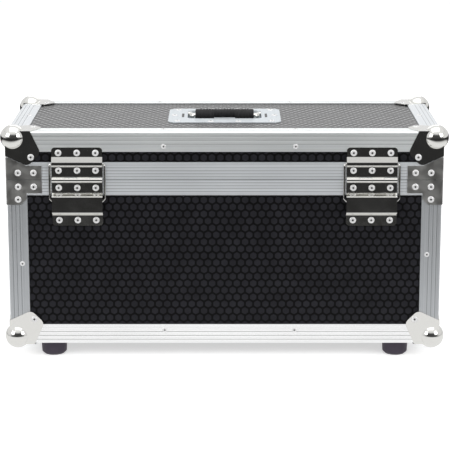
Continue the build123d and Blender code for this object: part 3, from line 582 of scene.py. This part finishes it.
class DressExtrusions(bpy.types.Operator):
    """Anodised finish on the edge extrusions, posts and rims"""
    bl_idname = "flight_case.extrusions"
    bl_label = "Extrusions"

    def execute(self, context):
        fine, slow = 1400.0, 3.0
        along_x, along_y, along_z = (slow, fine, fine), (fine, slow, fine), (fine, fine, slow)
        top, bottom, level = (2, BODY_TOP), (2, BODY_BOTTOM), (2, SPLIT)
        end, face = (0, HALF_WIDTH), (1, HALF_DEPTH)
        # Node, run of the die lines, painted light factor (lit and shaded copies of one finish),
        # faces that the ribs count from, metallic, roughness
        finishes = (
            ("lid_edges_long", along_x, 1.34, (top, face), 0.66, 0.34),
            ("base_edges_long", along_x, 1.38, (bottom, face), 0.95, 0.15),
            ("lid_edges_short", along_y, 1.0, (top, end), 0.62, 0.34),
            ("base_edges_short", along_y, 1.2, (bottom, end), 0.62, 0.28),
            ("base_corner_posts", along_z, 0.76, (end, face), 0.62, 0.34),
            ("lid_corner_posts", along_z, 0.95, (end, face), 0.62, 0.34),
        )
        for seed, (node, scales, painted_light_tint, ribs, metallic, rough) in enumerate(finishes):
            paint([node], anodised(f"anodised_{node}", scales, painted_light_tint, seed, ribs,
                                   metallic=metallic, rough=rough))
        rib_step = 0.0045
        # The rims' factors, 1.26 and 1.05, are painted light as well.
        paint([f"{half}_rim_{side}" for half in HALVES for side in LONG_SIDES],
              anodised("anodised_rims", along_x, 1.26, 7, (level,), rib_step, rib_step))
        paint([f"{half}_rims_short" for half in HALVES],
              anodised("anodised_rims_short", along_y, 1.05, 8, (level,), rib_step, rib_step))
        return {"FINISHED"}


class DressPressings(bpy.types.Operator):
    """Plating on the ball corners, braces, hinge leaves, handle plate and latches"""
    bl_idname = "flight_case.pressings"
    bl_label = "Pressings"

    def execute(self, context):
        metal = settings().metal
        brace_colour = [value * 0.86 for value in metal.plated_colour]
        leaves = [f"hinge_{half}_leaf_{side}" for half in HALVES for side in SHORT_SIDES]
        pans = [f"latch_{kind}_{side}" for kind in ("dish", "keeper") for side in SHORT_SIDES]
        moving = [f"latch_{kind}_{side}" for kind in ("rotor", "hook") for side in SHORT_SIDES]
        wings = [f"latch_wing_{side}_{tip}" for side in SHORT_SIDES for tip in ("west", "east")]
        paint(["base_ball_corners", "lid_ball_corners"] + leaves,
              plated("bright_plating", metal.plated_colour, 0.12))
        paint(["base_corner_braces", "lid_corner_braces"],
              plated("brace_plating", brace_colour, 0.34))
        paint(pans, plated("satin_plating", metal.plated_colour, 0.2))
        paint(moving + wings + ["hinge_pins"], plated("zinc", metal.zinc_colour, 0.26))
        paint(["handle_dish"], handle_plate("handle_plate"))
        return {"FINISHED"}


class MakeStayRings(bpy.types.Operator):
    """Bent wire rings of the two stay hinges, in place of their plain solids"""
    bl_idname = "flight_case.stay_rings"
    bl_label = "Stay rings"

    def execute(self, context):
        """A ring's flat outline is given from its hinge's middle and from the split."""
        wire = plated("ring_wire", settings().metal.plated_colour, 0.16)
        half, top, bottom, cut = 0.04075, 0.024, -0.0345, 0.006
        upper_bend, lower_bend, wire_radius = 0.004, 0.003, 0.0016
        level = -HALF_DEPTH - 0.00195
        flat = [(0, top), (half, top), (half, bottom + cut), (half - cut, bottom),
                (cut - half, bottom), (-half, bottom + cut), (-half, top), (0, top)]
        bends = [upper_bend] + [lower_bend] * 4 + [upper_bend]
        for side, x in zip(SHORT_SIDES, HINGE_X):
            corners = [(x + u, level, SPLIT + v) for u, v in flat]
            path = rounded_path(corners, bends)[:-1]
            points, faces = tube(path, (0, -1, 0), wire_radius, 20, closed=True)
            body = f"stay_ring_{side}"
            ring = add_piece(f"{body}_wire", points, faces, body, [wire])
            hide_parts(body)
        return {"FINISHED"}


class MakeHandle(bpy.types.Operator):
    """Bent rod and moulded grip of the carrying handle"""
    bl_idname = "flight_case.handle"
    bl_label = "Handle"

    def execute(self, context):
        """The rod runs from one pivot end along a leg, through the grip and back."""
        pivot_y, pivot_z = 0.038, 0.343
        grip_y, grip_z = -0.005, 0.348
        leg_x, end_x, rod_radius, bend = 0.0503, 0.0632, 0.004, 0.0045
        reach_y, reach_z = grip_y - pivot_y, grip_z - pivot_z
        chrome = plated("bail_plating", settings().metal.plated_colour, 0.12)
        flat = [(-end_x, 0), (-leg_x, 0), (-leg_x, 1), (leg_x, 1), (leg_x, 0), (end_x, 0)]
        corners = [(x, pivot_y + v * reach_y, pivot_z + v * reach_z) for x, v in flat]
        normal = np.cross((1, 0, 0), (0, reach_y, reach_z))
        points, faces = tube(rounded_path(corners, [bend] * 4, 10), normal, rod_radius, 24)
        bail = add_piece("bail_rod", points, faces, "handle", [chrome])
        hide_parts("handle_bail")
        self.grip(grip_y, grip_z, rod_radius)
        return {"FINISHED"}

    def grip(self, centre_y, centre_z, bore):
        """Grip: radius(x, t) = barrel radius, less a shallow finger hollow, with fine ribs.

        The hollow is depth * ease(x) * front(t)^2, with front(t) the part of the turn that faces
        forward. The ends close in by a quarter ellipse, and the left one goes on to the bore. A
        known fault: the right bore ring comes before the last station, which doubles that end's
        face and leaves a cone for the bore.
        """
        radius, half, hollow, end_round = 0.0110, 0.045, 0.0030, 0.0022
        rib, rib_pitch, rib_margin = 0.00025, 0.0045, 0.006
        sides, stations = 48, 91
        turn = np.linspace(0, 2 * np.pi, sides, endpoint=False)[None, :]
        inner = np.linspace(-half + end_round, half - end_round, stations)
        arc = np.linspace(0, np.pi / 2, 7)[:-1]
        rise = end_round * (1 - np.cos(arc))
        close = end_round * (1 - np.sin(arc))
        x = np.concatenate([-half + rise, inner, half - rise[::-1]])[:, None]
        inset = np.concatenate([close, np.zeros(stations), close[::-1]])[:, None]
        ease = 0.5 - 0.5 * np.tanh((np.abs(x) - 0.0185) / 0.0022)
        front = np.clip(-np.cos(turn - np.radians(20)), 0, 1)
        ribs = rib * np.cos(x * 2 * np.pi / rib_pitch) * (np.abs(x) < half - rib_margin)
        around = radius - rib - inset - hollow * ease * front ** 2 + ribs
        ring = np.full((1, sides), bore)
        around = np.concatenate([ring, around[:-1], ring, around[-1:]])
        x = np.concatenate([[[-half]], x[:-1], [[half]], x[-1:]])
        points = np.stack([np.broadcast_to(x, around.shape), centre_y + around * np.cos(turn),
                           centre_z + around * np.sin(turn)], -1)
        faces = grid_faces(len(points), sides, close_rows=True, close_columns=True)
        points = points.reshape(-1, 3)
        rubber = moulded("grip_rubber", GRIP_COLOUR, 0.50, 2200)
        grip = add_piece("grip_moulding", points, outward(points, faces), "handle",
                         [rubber], sharp=40)
        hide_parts("handle_grip")


class MakeFeet(bpy.types.Operator):
    """Rubber on the four feet, and the screws in their recesses"""
    bl_idname = "flight_case.feet"
    bl_label = "Feet"

    def execute(self, context):
        """A screw's head is rings of radius r(t) at rising heights, then its hexagon socket.

        The socket is a hexagon: its corner radius / cos(30 degrees - turn from the nearest
        corner) * cos(30 degrees).
        """
        paint(["feet"], moulded("foot_rubber", FOOT_COLOUR, 0.55, 1500))
        head, height, socket, depth, ceiling = 0.005, 0.003, 0.0022, 0.0016, 0.012
        sides = 36
        turn = np.linspace(0, 2 * np.pi, sides, endpoint=False)
        sixth = np.abs((turn + np.pi / 6) % (np.pi / 3) - np.pi / 6)
        hexagon = socket / np.cos(np.pi / 6 - sixth) * np.cos(np.pi / 6)
        rings = ((0, 0), (head, 0), (head, height * 0.45), (head * 0.85, height * 0.85),
                 (head * 0.6, height), (hexagon, height), (hexagon, height - depth),
                 (0, height - depth))
        points = np.concatenate([
            np.stack([r * np.cos(turn), r * np.sin(turn), np.full(sides, h)], -1)
            for r, h in rings])
        faces = outward(points, grid_faces(len(rings), sides, close_columns=True))
        places = [(x, y, ceiling, 0, 0, -1) for x in FOOT_X for y in FOOT_Y]
        points, faces = spread(points, faces, places)
        zinc = plated("screw_zinc", settings().metal.zinc_colour, 0.25)
        add_piece("foot_screws", points, faces, "base", [zinc], sharp=35)
        return {"FINISHED"}


class MakeRivets(bpy.types.Operator):
    """Blind rivets on the hinges, corners, edges, handle and latches"""
    bl_idname = "flight_case.rivets"
    bl_label = "Rivets"

    def execute(self, context):
        base, lid, base_small, lid_small = [], [], [], []
        self.hinge_rivets(base, lid)
        self.corner_rivets(base, lid)
        self.edge_rivets(base_small, lid_small)
        self.handle_rivets(lid)
        self.latch_rivets(base_small, lid_small)
        look = settings()
        head = plated("rivet_head", look.metal.rivet_colour, 0.4, 0.35)
        # The hollow's near-black colour is painted shade.
        hollow_shade = plated("rivet_hollow_shade", HOLLOW_SHADE_COLOUR, 0.45, 0.6)
        for name, body, places, radius in (
                ("base_rivets", "base", base, look.rivet.head_radius),
                ("lid_rivets", "lid", lid, look.rivet.head_radius),
                ("base_edge_rivets", "base", base_small, look.rivet.small_radius),
                ("lid_edge_rivets", "lid", lid_small, look.rivet.small_radius)):
            self.field(name, body, places, radius, [head, hollow_shade])
        return {"FINISHED"}

    def field(self, name, body, places, radius, materials):
        """A domed ring round a hollow with the broken mandrel in it, turned from one profile.

        The profile is in shares of the radius, from under the head to the mandrel's middle. The
        hollow's wall and the mandrel take a near-black colour as painted shade.
        """
        shares = [(0, -0.02), (1, -0.02), (1, 0.06), (0.93, 0.15), (0.72, 0.24), (0.45, 0.27),
                  (0.31, 0.24), (0.28, 0.08), (0.17, 0.10), (0.12, 0.15), (0, 0.17)]
        hollow_row = 6
        segments = settings().rivet.segments
        points, faces = turned([(r * radius, h * radius) for r, h in shares], segments)
        # Rows from the hollow's wall inward take the painted shade material.
        painted_shade_rows = np.arange(len(shares) - 1) >= hollow_row
        shades = np.tile(np.repeat(painted_shade_rows, segments), len(places))
        points, faces = spread(points, faces, places)
        add_piece(name, points, faces, body, materials, shades=shades, sharp=50)

    def hinge_rivets(self, base, lid):
        """Two rows of three on each leaf, at heights from the split."""
        columns, lid_rows, base_rows = (-0.0274, 0, 0.0274), (0.0405, 0.014), (-0.012, -0.061)
        for x in HINGE_X:
            for across in columns:
                for rows, group in ((lid_rows, lid), (base_rows, base)):
                    for up in rows:
                        group.append((x + across, -HALF_DEPTH - PLATE, SPLIT + up, 0, -1, 0))

    def corner_rivets(self, base, lid):
        """Those of the braces, by the split, and one on each arm of the ball corners."""
        brace_up, brace_low, arm_along, arm_in = 0.0105, 0.0296, 0.0365, 0.038
        for side, (start, run, inward, length) in SIDES.items():
            for flip in (False, True):
                def at(along, z):
                    return face_point(side, length - along if flip else along, z, PLATE)
                lid += [at(0.017, SPLIT + brace_up), at(0.040, SPLIT + brace_up)]
                base += [at(0.017, SPLIT - brace_up), at(0.040, SPLIT - brace_up)]
                base.append(at(0.0165, SPLIT - brace_low))
                lid.append(at(arm_along, BODY_TOP - arm_in))
                base.append(at(arm_along, BODY_BOTTOM + arm_in))
        level_in = 0.0375
        for x in (level_in - HALF_WIDTH, HALF_WIDTH - level_in):
            for y in (level_in - HALF_DEPTH, HALF_DEPTH - level_in):
                lid.append((x, y, BODY_TOP + PLATE, 0, 0, 1))
                base.append((x, y, BODY_BOTTOM - PLATE, 0, 0, -1))

    def edge_rivets(self, base, lid):
        """Those on both legs of the edge extrusions, and one on each face of a base post."""
        from_top, from_bottom, from_face, post_in = 0.022, 0.021, 0.021, 0.0205
        for side, places in (("hinge", (0.2325, 0.4275)), ("latch", (0.2180, 0.4270)),
                             ("left", (0.146,)), ("right", (0.146,))):
            (x, y), run, inward, length = SIDES[side]
            for along in places:
                lid.append(face_point(side, along, BODY_TOP - from_top))
                base.append(face_point(side, along, BODY_BOTTOM + from_bottom))
                spot = (x + run[0] * along + inward[0] * from_face,
                        y + run[1] * along + inward[1] * from_face)
                lid.append((*spot, BODY_TOP, 0, 0, 1))
                base.append((*spot, BODY_BOTTOM, 0, 0, -1))
            base.append(face_point(side, post_in, BODY_BOTTOM + 0.124))
            base.append(face_point(side, length - post_in, BODY_BOTTOM + 0.138))

    def handle_rivets(self, lid):
        """Ten round the flange of the handle's pan, in mirrored pairs."""
        flange = BODY_TOP - 0.0003
        for x, y in ((0.072, 0.050), (0.077, 0.0), (0.021, 0.056)):
            for sign_x in (-1, 1):
                for sign_y in (-1, 1) if y else (1,):
                    lid.append((sign_x * x, sign_y * y, flange, 0, 0, 1))

    def latch_rivets(self, base, lid):
        """Those on the flanges of each latch's pan and keeper, at heights from the split."""
        face = HALF_DEPTH + PLATE
        for x in LATCH_X:
            for across in (-0.0365, 0.0365):
                for up, group in ((-0.012, base), (-0.050, base), (0.014, lid)):
                    group.append((x + across, face, SPLIT + up, 0, 1, 0))
            for across in (-0.020, 0.020):
                for up, group in ((-0.0655, base), (0.0335, lid)):
                    group.append((x + across, face, SPLIT + up, 0, 1, 0))


class MakeFoam(bpy.types.Operator):
    """Foam lining of the walls, floor and lid, in place of its plain solids"""
    bl_idname = "flight_case.foam"
    bl_label = "Foam"

    def execute(self, context):
        """Level sheets on the floor and under the roof, and four upright ones in each half."""
        look = foam_look("lining_foam")
        back = SECTION_DEPTH + SOFT_GAP
        inner = back + FOAM_THICKNESS
        roof = BODY_TOP - back
        x, y = HALF_WIDTH - back, HALF_DEPTH - back
        pan = (x - 0.0675, x + 0.0675, 0.0889, 0.1645, 0.0075)
        floor_sheet = Sheet((-x, -y, BODY_BOTTOM + back), (1, 0, 0), (0, 1, 0), (0, 0, 1),
                            2 * x, 2 * y, ())
        roof_sheet = Sheet((-x, y, roof), (1, 0, 0), (0, -1, 0), (0, 0, -1),
                           2 * x, 2 * y, (pan,))
        self.lining("foam_floor", "base", [floor_sheet], look, "base_foam_floor")
        self.lining("foam_roof", "lid", [roof_sheet], look, "lid_foam_top")

        low, high, pocket_height = BODY_BOTTOM + inner + SOFT_GAP, SPLIT - SOFT_GAP, 0.0617
        sheets = self.walls(low, high, (high - low - pocket_height, high - low))
        self.lining("base_foam_lining", "base", sheets, look, "base_foam_walls")
        low, high, pocket_height = SPLIT + SOFT_GAP, roof - FOAM_THICKNESS - SOFT_GAP, 0.0297
        sheets = self.walls(low, high, (0, pocket_height))
        self.lining("lid_foam_lining", "lid", sheets, look, "lid_foam_walls")
        return {"FINISHED"}

    def walls(self, low, high, pocket_span):
        """One upright sheet for each side; the latch side's has pockets for the latches."""
        back = SECTION_DEPTH + SOFT_GAP
        pocket_half, pocket_depth = 0.0327, 0.0067
        sheets = []
        for side, (start, run, inward, length) in SIDES.items():
            trim = back if side in LONG_SIDES else back + FOAM_THICKNESS + SOFT_GAP
            corner = (start[0] + run[0] * trim + inward[0] * back,
                      start[1] + run[1] * trim + inward[1] * back, low)
            middles = [HALF_WIDTH + x - trim for x in LATCH_X] if side == "latch" else []
            pockets = [(middle - pocket_half, middle + pocket_half, *pocket_span, pocket_depth)
                       for middle in middles]
            sheets.append(Sheet(corner, (*run, 0), (0, 0, 1), (*inward, 0),
                                length - 2 * trim, high - low, pockets))
        return sheets

    def lines(self, length, stops):
        """Grid lines along one edge of a sheet: close at the rounded ends and at pockets."""
        radius = settings().foam.edge_radius
        spacing, stop_gap = 0.012, 0.0001
        ends = radius * (1 - np.cos(np.linspace(0, np.pi / 2, 6)))
        even = np.linspace(radius, length - radius, max(4, int(length / spacing)))
        marks = [ends, even, length - ends]
        for stop in stops:
            if radius < stop < length - radius:
                marks.append(np.array([stop - stop_gap, stop + stop_gap]))
        return np.unique(np.concatenate(marks).round(7))

    def surfaces(self, sheet):
        """A sheet's closed surface: a front that rounds off at its edges, a back with pockets.

        The front's height is thickness - r + sqrt(r^2 - (r - d)^2), with d the distance to the
        nearest edge, less a slow unevenness; the back's height is the depth of the pocket there.
        """
        radius, sway = settings().foam.edge_radius, 0.00015
        u = self.lines(sheet.length, [s for pocket in sheet.pockets for s in pocket[:2]])[:, None]
        v = self.lines(sheet.height, [s for pocket in sheet.pockets for s in pocket[2:4]])[None, :]
        d = np.minimum(np.minimum(u, sheet.length - u), np.minimum(v, sheet.height - v))
        d = np.clip(d, 0, radius)
        front = FOAM_THICKNESS - radius + np.sqrt(np.clip(radius ** 2 - (radius - d) ** 2, 0, None))
        waves = np.sin(u * 21 + 1) * np.sin(v * 27 + 2) + np.sin(u * 47) * np.sin(v * 39)
        front = front - sway * (1 + 0.5 * waves)
        rear = np.zeros_like(front)
        for u0, u1, v0, v1, depth in sheet.pockets:
            rear = np.where((u > u0) & (u < u1) & (v > v0) & (v < v1), depth, rear)

        corner, along, up, inward = (np.asarray(values, float) for values in sheet[:4])
        flat = corner + u[..., None] * along + v[..., None] * up
        points = np.concatenate([(flat + front[..., None] * inward).reshape(-1, 3),
                                 (flat + rear[..., None] * inward).reshape(-1, 3)])
        rows, columns = front.shape
        quads = grid_faces(rows, columns)
        index = np.arange(rows * columns).reshape(rows, columns)
        rim = np.concatenate([index[0], index[1:, -1], index[-1, -2::-1], index[-2:0:-1, 0]])
        ahead = np.roll(rim, -1)
        shift = rows * columns
        sides = np.stack([rim, ahead, ahead + shift, rim + shift], -1)
        faces = np.concatenate([quads, quads[:, ::-1] + shift, sides[:, ::-1]])
        return points, outward(points, faces)

    def lining(self, name, body, sheets, material, node):
        """One padded piece of several sheets, which stands for a plain solid."""
        all_points, all_faces, start = [], [], 0
        for sheet in sheets:
            points, faces = self.surfaces(sheet)
            all_points.append(points)
            all_faces.append(faces + start)
            start += len(points)
        piece = add_piece(name, np.concatenate(all_points), np.concatenate(all_faces), body,
                          [material], sharp=45)
        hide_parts(node)


class MakeStage(bpy.types.Operator):
    """Pale floor, studio lamps, surroundings and the camera"""
    bl_idname = "flight_case.stage"
    bl_label = "Stage"

    def execute(self, context):
        scene = context.scene
        scene.view_settings.view_transform = "Standard"
        self.camera(scene)
        self.floor(scene)
        self.surroundings(scene)
        # Name, place, width, height and power of each lamp
        for lamp in (("lamp_above", (0, -0.3, 2.6), 2.6, 2.2, 17),
                     ("lamp_left", (-2.2, -1.9, 1.5), 1.4, 1.4, 25),
                     ("lamp_right", (2.2, -1.9, 1.5), 1.4, 1.4, 25),
                     ("lamp_back", (0, 2.4, 1.8), 2.2, 1.2, 7)):
            self.lamp(scene, *lamp)
        return {"FINISHED"}

    def camera(self, scene):
        look, sideways = settings().stage, 0.0007
        data = bpy.data.cameras.new("camera")
        data.lens = look.lens
        data.sensor_width = 36.0
        data.clip_end = 50.0
        camera = bpy.data.objects.new("camera", data)
        camera.location = (sideways, -look.camera_distance, look.camera_height)
        camera.rotation_euler = (math.pi / 2 - look.camera_pitch, 0, 0)
        scene.collection.objects.link(camera)
        scene.camera = camera

    def floor(self, scene):
        """A level sheet, white to the camera; in gloss, bright by the case and dark far out."""
        reach, glow, narrow = 12.0, 0.55, 0.55
        mesh = bpy.data.meshes.new("floor")
        corners = [(-reach, -reach, 0), (reach, -reach, 0), (reach, reach, 0), (-reach, reach, 0)]
        mesh.from_pydata(corners, [], [(0, 1, 2, 3)])
        floor = bpy.data.objects.new("floor", mesh)
        scene.collection.objects.link(floor)
        shader = Shader("floor_paper")
        rays = shader.add("LightPath").outputs
        glossy = rays["Is Glossy Ray"]
        x, y = shader.split(shader.place)[:2]
        away = shader.vector("LENGTH", shader.combine(shader.math("MULTIPLY", x, narrow), y, 0.0))
        gloss = shader.math("MULTIPLY", glossy, shader.ramp(away, 1.0, 0.44, 0.03, 1.0))
        seen = shader.math("MAXIMUM", rays["Is Camera Ray"], rays["Is Transmission Ray"])
        shader.set(Base_Color=shader.mix(glossy, FLOOR_COLOUR, BLACK), Roughness=0.9,
                   Specular_IOR_Level=0.0, Emission_Color=WHITE,
                   Emission_Strength=shader.more(gloss, seen, glow))
        mesh.materials.append(shader.material)

    def surroundings(self, scene):
        """White to the camera; in gloss, white above and behind and dim low in front."""
        world = bpy.data.worlds.new("studio")
        scene.world = world
        world.use_nodes = True
        wiring = Wiring(world.node_tree)
        y, z = wiring.split(wiring.add("TexCoord").outputs["Generated"])[1:]
        behind = wiring.ramp(y, -0.75, -0.25, 0.06, 0.88)
        above = wiring.ramp(z, 0.38, 0.72)
        rays = wiring.add("LightPath").outputs
        light, gloss, backdrop = (
            wiring.add("Background", {"Color": WHITE, "Strength": strength}).outputs[0]
            for strength in (0.55, wiring.math("MAXIMUM", behind, above), 1.0))
        lit = wiring.add("MixShader", (rays["Is Glossy Ray"], light, gloss)).outputs[0]
        shown = wiring.add("MixShader", (rays["Is Camera Ray"], lit, backdrop)).outputs[0]
        wiring.add("OutputWorld", {"Surface": shown})

    def lamp(self, scene, name, place, width, height, power):
        """A soft rectangular lamp that faces the case."""
        data = bpy.data.lights.new(name, "AREA")
        data.shape = "RECTANGLE"
        data.size = width
        data.size_y = height
        data.energy = power
        lamp = bpy.data.objects.new(name, data)
        lamp.location = place
        toward = np.array((0, 0, 0.2)) - np.array(place)
        toward /= np.linalg.norm(toward)
        tilt = math.acos(-toward[2])
        turn = math.atan2(toward[0], -toward[1])
        lamp.rotation_euler = (tilt, 0, turn + math.pi)
        scene.collection.objects.link(lamp)


OPERATORS = (MakeStage, DressBoards, DressExtrusions, DressPressings, MakeStayRings, MakeHandle,
             MakeFeet, MakeRivets, MakeFoam)


class FlightCasePanel(bpy.types.Panel):
    """Lists the steps that dress the flight case, and its settings"""
    bl_idname = "VIEW3D_PT_flight_case"
    bl_label = "Flight case"
    bl_space_type = "VIEW_3D"
    bl_region_type = "UI"
    bl_category = "Flight case"

    def draw(self, context):
        layout = self.layout
        look = context.scene.flight_case
        for operator in OPERATORS:
            layout.operator(operator.bl_idname)
        for group in (look.laminate, look.metal, look.rivet, look.foam, look.stage):
            box = layout.box()
            for name in group.bl_rna.properties.keys():
                if name not in ("rna_type", "name"):
                    box.prop(group, name)


CLASSES = (LaminateSettings, MetalSettings, RivetSettings, FoamSettings, StageSettings,
           CaseSettings) + OPERATORS + (FlightCasePanel,)


def register():
    for cls in CLASSES:
        bpy.utils.register_class(cls)
    bpy.types.Scene.flight_case = bpy.props.PointerProperty(type=CaseSettings)


def unregister():
    del bpy.types.Scene.flight_case
    for cls in reversed(CLASSES):
        bpy.utils.unregister_class(cls)


def main():
    """Registers the add-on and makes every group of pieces."""
    register()
    for operator in OPERATORS:
        group, name = operator.bl_idname.split(".")
        getattr(getattr(bpy.ops, group), name)()


if __name__ == "__main__":
    main()
